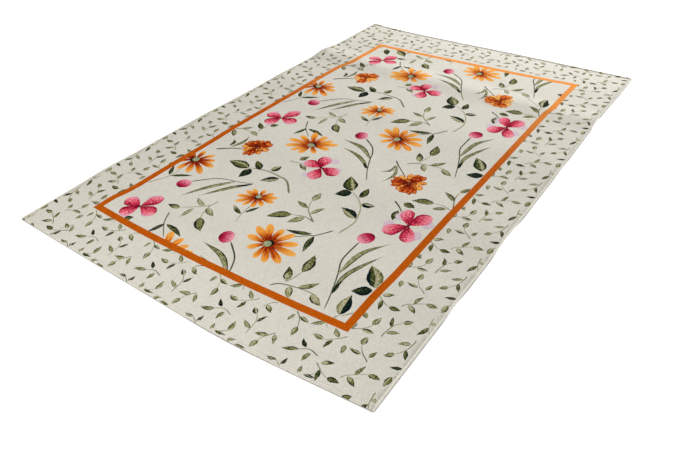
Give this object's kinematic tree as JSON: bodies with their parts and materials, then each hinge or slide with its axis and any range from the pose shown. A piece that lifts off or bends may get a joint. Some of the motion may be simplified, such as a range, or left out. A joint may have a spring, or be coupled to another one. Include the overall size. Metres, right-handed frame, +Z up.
{
  "type": "flat woven rug",
  "caption": "Thin flat woven rug with turned hems at its short ends and overcast long edges, an orange frame line, a flower field and a border of leaf sprigs.",
  "frame": {"origin": "on the floor, under the middle of the rug's outline", "axes": "+X across the rug, +Y along it, +Z up from the floor, printed face up"},
  "size_m": [1.216, 1.8304, 0.0124],
  "materials": {
    "printed_cloth": "matt ribbed flat weave, printed",
    "edge_yarn": "matt wound yarn"
  },
  "bodies": {
    "root": {"rug_cloth": "printed_cloth", "overcast_edge_left": "edge_yarn", "overcast_edge_right": "edge_yarn"}
  },
  "joints": []
}
